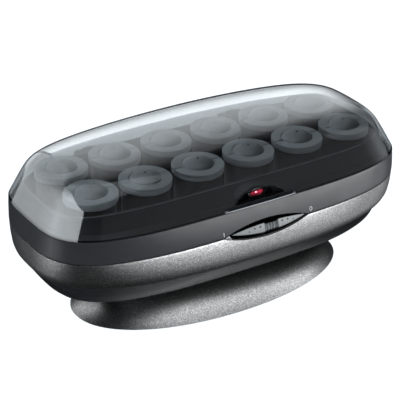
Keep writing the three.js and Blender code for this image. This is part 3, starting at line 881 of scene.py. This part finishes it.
def tray():
    """The apron, the ridge with a paler bead on its crest as a painted highlight, and the well that the
    rollers stand in.
    """

    def well(z, grow=0.0):
        return superellipse(**WELL, z=z, inset=-grow)

    loops = [well(TRAY_FLOOR - TRAY_WALL, TRAY_WALL), well(RIDGE_Z - 3.5, TRAY_WALL)]
    loops.append(superellipse(**dict(APRON, z=APRON["z"] - TRAY_WALL)))
    loops.append(superellipse(**APRON, inset=0.2))
    ridge = dict(a=WELL["a"] + 2.4, b=WELL["b"] + 2.4, n=WELL["n"], z=RIDGE_Z - 0.9)
    plain = [(t / 10, 0.0) for t in range(1, 10) if t != 4]
    for t, depth in sorted(plain + list(APRON_GROOVE)):
        z = APRON["z"] + (ridge["z"] - APRON["z"]) * (t - 0.35 * t * (1 - t))
        blend = {key: APRON[key] + (ridge[key] - APRON[key]) * t for key in ("a", "b", "n")}
        loops.append(superellipse(**blend, z=z, inset=depth))
    crest = ((-0.9, 2.4), (-0.45, 2.1), (-0.15, 1.7), (0.0, 1.3), (-0.1, 0.7), (-0.4, 0.25), (-1.0, 0.0))
    loops += [well(RIDGE_Z + z, grow) for z, grow in crest]
    loops += [well(z) for z in (105.0, 90.0, 75.0, 63.0)]
    loops += [well(TRAY_FLOOR + 1.2, -0.3), well(TRAY_FLOOR + 0.3, -1.2), well(TRAY_FLOOR, -3.0)]
    obj = make("tray", *loft(loops))
    hole = [(0, 55.0), (POST_HOLE_R, 55.0), (POST_HOLE_R, 62.0), (0, 62.0)]
    holes = [lathe("cutter", hole, x, y, 48) for _, x, y in roller_places()]
    for _, x in HOOKS:
        holes.append(rounded_box("cutter", (x - 3.1, -73.2, 95.9), (x + 3.1, -70.0, 107.0), 0.4))
    boolean(obj, holes)
    place(obj, "case", BLACK, "roller_tray")
    # the bead is a paler grey line on the ridge crest: a painted highlight
    corners = fillet([(2.5, -0.75), (1.9, -0.1), (1.4, -0.3), (1.6, -0.95)], [0.1] * 4, 2)
    highlight_bead = solid("tray_bead", [well(RIDGE_Z + z, grow) for grow, z in corners], True)
    place(highlight_bead, "case", POST)


def lamp():
    """The lamp housing on the tray's front, its chrome ring and red lens."""
    turn = round_angles(64)

    def oval(rx, rz, y):
        return [(LENS.x + rx * math.cos(t), y, LENS.z + rz * math.sin(t)) for t in turn]

    arch = [
        (LENS.x + ARCH_HALF * math.cos(t), ARCH_SPRING + ARCH_RISE * math.sin(t))
        for t in np.linspace(0.0, math.pi, 40)
    ]
    foot = [(LENS.x - ARCH_HALF, ARCH_FOOT), (LENS.x + ARCH_HALF, ARCH_FOOT)]
    housing = prism_y("lamp_housing", arch + foot, -66.3, -56.0)
    bevel(housing, 0.8)
    place(housing, "case", BLACK)
    for name, material, slot, wide, front in (
        ("lamp_surround", DEEP_BLACK, "black_plastic", 1.9, -68.2),
        ("lamp_ring", CHROME, "steel", 0.8, -69.6),
    ):
        profile = fillet([(wide, -66.0), (wide, front + 0.4), (0.0, front), (-0.1, -66.0)], [0.2] * 4, 3)
        ring = solid(name, [oval(LENS_RX + g, LENS_RZ + g, y) for g, y in profile], True)
        place(ring, "case", material, slot=slot)
    loops = []
    for lift in np.linspace(0.0, math.pi / 2, 14)[:-1]:
        share = math.cos(lift)
        loops.append(oval(LENS_RX * share, LENS_RZ * share, LENS_RIM_Y - LENS_BULGE * math.sin(lift)))
    back = oval(LENS_RX, LENS_RZ, LENS.y + 1.5)
    place(solid("lamp_lens", [back] + loops), "case", RED, "indicator_lens")


def post_profile():
    """The post: a plain column with a domed top."""
    profile = [(0.0, POST_FOOT), (POST_R, POST_FOOT), (POST_R, 90.0), (POST_R, POST_SHOULDER)]
    for t in np.linspace(0.0, math.pi / 2, 14)[1:-1]:
        height = POST_SHOULDER + (POST_TOP - POST_SHOULDER) * math.sin(t)
        profile.append((POST_R * math.cos(t) ** 0.8, height))
    return profile + [(0.0, POST_TOP)]


def barrel_profile():
    """A flocked tube with a wider flange at its foot."""
    corners = [
        (BORE_R, BARREL_FOOT), (FLANGE_R, BARREL_FOOT), (FLANGE_R, FLANGE_TOP),
        (BARREL_R, FLANGE_TOP), (BARREL_R, BARREL_TOP), (BORE_R, BARREL_TOP),
    ]
    return fillet(corners, [0.3, 1.0, 0.9, 0.3, 0.3, 0.3], 4)


def ring_profile():
    """The end ring: a flat face, a rounded edge and a fine line round its side."""
    side = RING_R - 0.3
    corners = [
        (BORE_R, RING_FOOT), (side - 0.1, RING_FOOT), (side, RING_LINE - 0.2), (side - 0.3, RING_LINE),
        (side, RING_LINE + 0.2), (RING_R, RING_TOP - 0.7), (RING_R - 0.9, RING_TOP), (BORE_R, RING_TOP),
    ]
    return fillet(corners, [0.3, 0.9, 0.1, 0.1, 0.1, 0.5, 0.5, 0.6], 4)


def copy_at(original, name, x, y):
    """Another object with its own mesh, moved from the origin to x, y."""
    mesh = original.data.copy()
    mesh.name = name
    mesh.transform(Matrix.Translation((x * MM, y * MM, 0.0)))
    return add(name, mesh)


def grooved_ring():
    """The end ring with its two small grooves, on the axis."""
    obj = lathe("ring_pattern", ring_profile(), points=96)
    cutters = []
    for side in (-1, 1):
        low = (side * 11.5, -GROOVE_HALF, GROOVE_FLOOR)
        high = (side * 22.0, GROOVE_HALF, 123.0)
        cutters.append(rounded_box("cutter", low, high, 0.12))
    boolean(obj, cutters)
    return obj


def rollers():
    """Twelve rollers on their posts, copied from patterns on the axis."""
    post = lathe("post_pattern", post_profile(), points=64)
    barrel = lathe("barrel_pattern", barrel_profile(), points=ROUND_POINTS)
    ring = grooved_ring()
    nib = lathe("nib_pattern", [(0.0, 125.3), (1.0, 125.3), (0.8, 125.95), (0.0, 125.98)], points=20)
    for number, x, y in roller_places():
        body = f"roller_{number}"
        place(copy_at(post, f"post_{number}", x, y), "case", POST, f"heating_post_{number}")
        place(copy_at(nib, f"post_nib_{number}", x, y), "case", DEEP_BLACK, slot="black_plastic")
        place(copy_at(barrel, f"flocked_barrel_{number}", x, y), body, VELVET, f"{body}_barrel")
        place(copy_at(ring, f"end_ring_{number}", x, y), body, RING, f"{body}_end_ring")
    for pattern in (post, barrel, ring, nib):
        bpy.data.objects.remove(pattern)


# --- switch


def slider():
    """The almond pad: its grey upper face, a lower face of the same part painted darker as shade, and a
    ribbed notch in the middle.
    """
    loops, shaded_loops = [], []
    middle = SEAM["z"]
    for x in np.linspace(PAD_X - PAD_HALF, PAD_X + PAD_HALF, 193):
        share, swell = pad_share(x), pad_swell(x)
        notch = abs(x - GRIP_X) < GRIP_HALF
        rib = max(0.0, math.cos((x - GRIP_X) * 2.0 * math.pi / RIB_PITCH)) if notch else 0.0
        sunk = GRIP_DEPTH * (1.0 - 0.9 * rib) if notch else 0.0
        crease = PAD_FRONT + PAD_BULGE * (1.0 - swell) + sunk
        brow = crease + PAD_BROW * swell + 0.2
        top = middle + 0.6 + (0.5 if notch else PAD_TOP) * share
        fold = middle - PAD_FOLD * share
        foot = middle - PAD_FOOT * share
        face = [(fold, crease), (top, brow), (middle + 0.2, -74.4), (fold, -74.4)]
        facet = [(foot, crease + 1.9), (fold - 0.05, crease + 0.15), (fold - 0.05, -74.2), (foot, -74.2)]
        for target, corners in ((loops, face), (shaded_loops, facet)):
            rounded = fillet([(y, z) for z, y in corners], [0.3, 0.4, 0.2, 0.0], 3)
            target.append([(x, y, z) for y, z in rounded])
    pad = solid("slider_pad", loops, sharp=30.0)
    place(pad, "power_slider", PAD, "switch_slider")
    # the lower face gets the dark band colour instead of the switch grey: painted shade
    under = solid("slider_under", shaded_loops, sharp=30.0)
    place(under, "power_slider", BAND, slot="switch_grey")
    low, high = (PAD_X - STEM_HALF, -74.6, 80.0), (PAD_X + STEM_HALF, -66.0, 82.0)
    stem = rounded_box("slider_stem", low, high, 0.3)
    place(stem, "power_slider", BAND, slot="switch_grey")
    for side, word in ((-1, "left"), (1, "right")):
        for k, (out, size, lift) in enumerate(PAD_DOTS):
            x = GRIP_X + side * out
            share, swell = pad_share(x), pad_swell(x)
            z = middle + lift
            rise = (lift + PAD_FOLD * share) / (0.6 + (PAD_TOP + PAD_FOLD) * share)
            y = PAD_FRONT + PAD_BULGE * (1.0 - swell) + (PAD_BROW * swell + 0.2) * rise
            profile = [(0, y - 0.1), (size, y - 0.1), (size, y + 1.2), (0, y + 1.2)]
            # near-black dots standing in for the shade in small dimples: painted shade
            dot = cylinder_y(f"slider_dot_{word}_{k + 1}", profile, x, z, 20)
            place(dot, "power_slider", DEEP_BLACK, slot="black_plastic")


def switch_well():
    """The floor behind the slider, near-black as the bezel's own black deepened by painted shade of the
    recess, and the small silver corner at its left end.
    """
    floor = prism_y("switch_floor", almond(SWITCH_X, SEAM["z"], FLOOR_HALF, FLOOR_HIGH), -73.0, -71.2)
    reach = STEM_HALF + STEM_GAP
    slot = rounded_box("cutter", (PAD_X - reach - SLIDE, -90.0, 79.4), (PAD_X + reach, -60.0, 84.6), 0.5)
    boolean(floor, [slot])
    place(floor, "case", DEEP_BLACK, "switch_bezel", slot="black_plastic")
    corner = [(-32.4, 82.0), (-29.5, 80.2), (-25.0, 79.4), (-26.6, 81.6), (-28.0, 83.9), (-29.8, 83.3)]
    wedge = prism_y("switch_corner", corner, -78.9, -78.05)
    bevel(wedge, 0.2)
    place(wedge, "case", SPECKLED)


def switch_marks():
    """The on mark, a short bar, and the off mark, a small ring, printed on the band."""
    bar = [(-32.6, 83.7), (-31.9, 83.7), (-31.9, 87.1), (-32.6, 87.1)]
    loops = [[(x, band_face_y(x, z) + lift, z) for x, z in bar] for lift in (0.2, -0.06)]
    place(solid("mark_on", loops), "case", WHITE, slot="satin_grey_band")
    turn = round_angles(40)
    loops = []
    for rx, rz, lift in ((1.4, 1.8, 0.2), (1.4, 1.8, -0.06), (0.8, 1.2, -0.06), (0.8, 1.2, 0.2)):
        points = [(MARK_OFF_X + rx * math.cos(t), MARK_OFF_Z + rz * math.sin(t)) for t in turn]
        loops.append([(x, band_face_y(x, z) + lift, z) for x, z in points])
    place(solid("mark_off", loops, True), "case", WHITE, slot="satin_grey_band")


# --- inner pieces kept from the frame


def finish_inner_nodes():
    """Materials for the CAD nodes that stay as they are."""
    finishes = {
        "switch_body": BLACK, "latch_catch": STEEL, "thermostat": STEEL, "thermal_fuse": ALUMINIUM,
        "heater_plate": ALUMINIUM, "heating_element": CERAMIC, "indicator_lamp": CERAMIC,
    }
    for node, material in finishes.items():
        obj = frame["nodes"][node]
        obj.data.materials.clear()
        obj.data.materials.append(material)


# --- studio

AIM = Vector((0.0, 0.0, 0.06))
AZIMUTH, ELEVATION, ROLL = -121.99, 28.17, 0.24
DISTANCE = 1.2309
FOCAL_LENGTH, SENSOR_WIDTH = 134.8, 36.0
SHIFT_X, SHIFT_Y = -0.0153, 0.0327
CARD_DISTANCE = 3.0
COOL = (0.95, 1.0, 1.04)
FLOOR_REACH, CARD_REACH = 12000.0, 2600.0


def toward(azimuth, elevation):
    """The direction at an azimuth from +X and an elevation, both in degrees."""
    a, e = math.radians(azimuth), math.radians(elevation)
    return Vector((math.cos(a) * math.cos(e), math.sin(a) * math.cos(e), math.sin(e)))


def face(obj, direction):
    """Turns a camera or light to look back along a direction."""
    obj.rotation_mode = "QUATERNION"
    obj.rotation_quaternion = (-direction).to_track_quat("-Z", "Y")


def camera():
    """The photograph's viewpoint."""
    data = bpy.data.cameras.new("camera")
    data.lens, data.sensor_width = FOCAL_LENGTH, SENSOR_WIDTH
    data.shift_x, data.shift_y = SHIFT_X, SHIFT_Y
    data.clip_start, data.clip_end = 0.05, 20.0
    obj = add("camera", data)
    back = toward(AZIMUTH, ELEVATION)
    obj.location = AIM + back * DISTANCE
    face(obj, back)
    obj.rotation_quaternion @= Quaternion((0, 0, 1), math.radians(ROLL))
    bpy.context.scene.camera = obj


def link_light(light, receivers):
    """Lets a light reach only some pieces."""
    group = bpy.data.collections.new(light.name + "_pieces")
    for piece in receivers:
        group.objects.link(bpy.data.objects[piece])
    light.light_linking.receiver_collection = group


def panel(name, azimuth, elevation, distance, width, height, radiance, receivers, shadow=True):
    """A soft rectangular light that faces some pieces from a direction."""
    data = bpy.data.lights.new(name, "AREA")
    data.shape = "RECTANGLE"
    data.size, data.size_y = width, height
    data.energy = radiance * math.pi * width * height
    data.use_shadow = shadow
    obj = add(name, data)
    direction = toward(azimuth, elevation)
    obj.location = AIM + direction * distance
    face(obj, direction)
    obj.visible_camera = False
    link_light(obj, receivers)


def sun(name, direction, strength, spread, receivers, shadow=True):
    """A soft light from far away that leaves no highlight."""
    data = bpy.data.lights.new(name, "SUN")
    data.energy = strength
    data.color = COOL
    data.angle = math.radians(spread)
    data.use_shadow = shadow
    obj = add(name, data)
    face(obj, Vector(direction))
    obj.visible_glossy = False
    link_light(obj, receivers)


def curve(*points):
    """A function that runs straight between (at, value) points, and is level past its ends."""
    at, values = zip(*points)

    def value(x):
        return float(np.interp(x, at, values))

    return value


def level(height):
    return curve((0.0, height))


def curved_card(name, azimuths, low, high, along, up):
    """A glowing card curved round the object, shown only by its reflection in the lid.

    low and high give its edges in degrees of elevation at an azimuth. Its glow is along, at
    the azimuth, times up, at the share of the height.
    """
    columns, rows = 72, 16
    vertices, glow = [], []
    for azimuth in np.linspace(*azimuths, columns):
        bottom, top = low(azimuth), high(azimuth)
        for share in np.linspace(0.0, 1.0, rows):
            point = AIM + toward(azimuth, bottom + (top - bottom) * share) * CARD_DISTANCE
            vertices.append(point / MM)
            glow.append(along(azimuth) * up(share))
    faces = []
    for column in range(columns - 1):
        for row in range(rows - 1):
            corner = column * rows + row
            faces.append((corner, corner + 1, corner + rows + 1, corner + rows))
    obj = make(name, vertices, faces)
    obj.data.attributes.new("glow", "FLOAT", "POINT").data.foreach_set("value", glow)
    light = Shader(name, (0.0, 0.0, 0.0), 1.0, Emission_Color=(0.95, 1.0, 1.03, 1.0))
    strength = light.node("Attribute")
    strength.attribute_name = "glow"
    light.feed("Emission Strength", strength.outputs["Fac"])
    obj.data.materials.append(light.material)
    obj.visible_camera = False
    obj.visible_diffuse = False
    obj.visible_shadow = False
    link_light(obj, ["lid_dome"])


def lid_cards():
    """What the lid mirrors: a tall card at its left end, a strip behind it and soft hazes."""
    side_top = curve((80, 36), (100, 47), (135, 61), (170, 55), (200, 40), (217, 33))
    side_glow = curve((80, 1.5), (110, 1.8), (124, 2.5), (142, 4.8), (155, 7.0), (217, 6.6))
    curved_card("side_card", (79.0, 217.0), level(-6.0), side_top, side_glow, level(1.0))

    strip_top = curve((48, 14), (52, 16.5), (58, 20), (64, 22), (78, 22))
    strip_glow = curve((36, 0.05), (40, 0.1), (44, 1.2), (48, 2.9), (52, 3.7), (78, 4.1))
    strip_rise = curve((0.0, 0.15), (0.3, 0.4), (0.6, 0.75), (0.85, 1.05), (1.0, 1.15))
    curved_card("back_strip", (36.0, 78.0), level(0.5), strip_top, strip_glow, strip_rise)

    haze_low = curve((48, 14), (52, 16.5), (58, 20), (64, 22), (78, 22), (80, 36), (95, 44))
    haze_top = curve((30, 62), (70, 60), (80, 43), (95, 48))
    haze_rise = curve((0.0, 2.0), (0.3, 1.7), (0.6, 1.1), (0.85, 0.5), (1.0, 0.0))
    curved_card("back_haze", (44.0, 95.0), haze_low, haze_top, level(1.0), haze_rise)

    right_low = curve((36, -4), (37, 14), (44, 14))
    right_glow = curve((6, 0.06), (30, 0.08), (38, 0.3), (44, 1.0))
    right_rise = curve((0.0, 2.0), (0.27, 1.7), (0.56, 1.1), (0.79, 0.6), (1.0, 0.0))
    curved_card("right_haze", (6.0, 44.0), right_low, level(66.0), right_glow, right_rise)

    front_glow = curve((-110, 0.3), (-60, 0.45), (-30, 0.45), (-14, 1.2), (-4, 1.1), (3, 0.0))
    front_rise = curve((0.0, 1.0), (1.0, 0.4))
    curved_card("front_haze", (-110.0, 3.0), level(-6.0), level(50.0), front_glow, front_rise)


def world():
    """A studio that is brighter low down behind the object and dim overhead and in front."""
    made = bpy.data.worlds.new("studio")
    bpy.context.scene.world = made
    made.use_nodes = True
    tree = made.node_tree
    background = tree.nodes["Background"]
    coordinates = tree.nodes.new("ShaderNodeTexCoord")
    toward_back = tree.nodes.new("ShaderNodeVectorMath")
    toward_back.operation = "DOT_PRODUCT"
    toward_back.inputs[1].default_value = Vector((0.45, 0.86, 0.12)).normalized()
    tree.links.new(coordinates.outputs["Generated"], toward_back.inputs[0])
    levels = ((0.0, 0.08), (0.6, 0.14), (0.9, 0.3), (1.0, 0.4))
    stops = [(at, tuple(level * share for share in COOL)) for at, level in levels]
    tree.links.new(color_ramp(tree, toward_back.outputs["Value"], stops), background.inputs["Color"])
    background.inputs["Strength"].default_value = 1.0


def ground():
    """The pale floor, and a dark card just above it that only reflections see."""

    def sheet(name, reach, z):
        corners = [(-reach, -reach, z), (reach, -reach, z), (reach, reach, z), (-reach, reach, z)]
        return make(name, corners, [(0, 1, 2, 3)])

    floor = sheet("floor", FLOOR_REACH, 0.0)
    paper = Shader("pale_floor", (0.9, 0.9, 0.9), 0.9)
    paper.feed("Roughness", paper.ramp(paper.noise(60.0, 3.0), [(0.3, 0.85), (0.7, 0.95)]))
    floor.data.materials.append(paper.material)
    card = sheet("dark_card", CARD_REACH, 0.4)
    felt = Shader("dark_felt", (0.02, 0.02, 0.02), 1.0)
    felt.bump(felt.noise(800.0, 2.0), 0.2, 0.0002)
    card.data.materials.append(felt.material)
    card.visible_camera = False
    card.visible_diffuse = False
    card.visible_transmission = False
    card.visible_shadow = False


def studio():
    """Camera, surroundings and lights."""
    camera()
    world()
    ground()
    lid_cards()
    pieces = [obj.name for obj in bpy.data.objects if obj.type == "MESH" and obj.name != "floor"]
    case = ["case_lower_shell", "switch_corner"]
    band = ["case_upper_band", "lid_lip_line", "slider_pad"]
    inside = ["lamp_lens", "lamp_ring"]
    posts = [name for name in pieces if name.startswith("post_")]
    rings = [name for name in pieces if name.startswith("end_ring_")]
    # name, direction towards it, strength, spread in degrees, pieces it reaches, casts shadows
    sun("overhead", (-0.25, 0.1, 1.0), 3.4, 70.0, pieces)
    sun("post_slant", (-0.7, 0.5, 0.45), 3.6, 15.0, posts, False)
    sun("ring_side", (0.85, -0.45, 0.15), 0.7, 15.0, rings, False)
    sun("floor_wash", (0.0, 0.0, 1.0), 3.6, 10.0, ["floor"], False)
    sun("floor_shadow", (0.0, 0.0, 1.0), 0.4, 90.0, ["floor"])
    # name, azimuth, elevation, distance, width, height, radiance, pieces it reaches, casts shadows
    panel("shell_key", -74.0, 0.0, 0.9, 0.9, 0.42, 8.3, case, False)
    panel("shell_right", -28.0, -18.0, 0.9, 0.35, 0.3, 10.0, case, False)
    panel("shell_left", 168.0, -14.0, 0.9, 0.5, 0.3, 6.0, case, False)
    panel("band_left", 165.0, -20.0, 0.9, 0.4, 0.3, 3.0, band, False)
    panel("band_key", -50.0, 4.0, 0.9, 0.9, 0.4, 7.2, band)
    panel("band_right", -30.0, -18.0, 0.9, 0.3, 0.3, 13.0, band, False)
    panel("foot_key", -50.0, 46.0, 1.0, 1.4, 0.65, 2.7, ["pedestal"])
    panel("foot_top", -105.0, 60.0, 1.0, 0.4, 0.4, 2.7, ["pedestal"])
    panel("foot_right", -24.0, 30.0, 1.0, 0.4, 0.3, 2.4, ["pedestal"])
    panel("foot_left", 138.0, 22.0, 1.0, 1.1, 0.4, 1.7, ["pedestal"])
    panel("shell_back", 70.0, 4.0, 0.9, 1.0, 0.4, 5.0, case, False)
    panel("foot_back", 70.0, 40.0, 1.0, 1.2, 0.5, 2.0, ["pedestal"])
    panel("belly_key", -30.0, -75.0, 0.6, 0.5, 0.3, 4.0, ["case_belly"], False)
    panel("lens_key", -72.0, 32.0, 0.8, 0.12, 0.12, 50.0, inside)
    panel("ring_key", -10.0, 50.0, 0.8, 0.5, 0.4, 8.0, inside)
    bpy.context.scene.view_settings.view_transform = "Standard"


pedestal()
underside()
belly()
lower_shell()
upper_band()
rim_seal()
cord_bush()
tray()
lamp()
rollers()
switch_well()
slider()
switch_marks()
lid()
finish_inner_nodes()
studio()
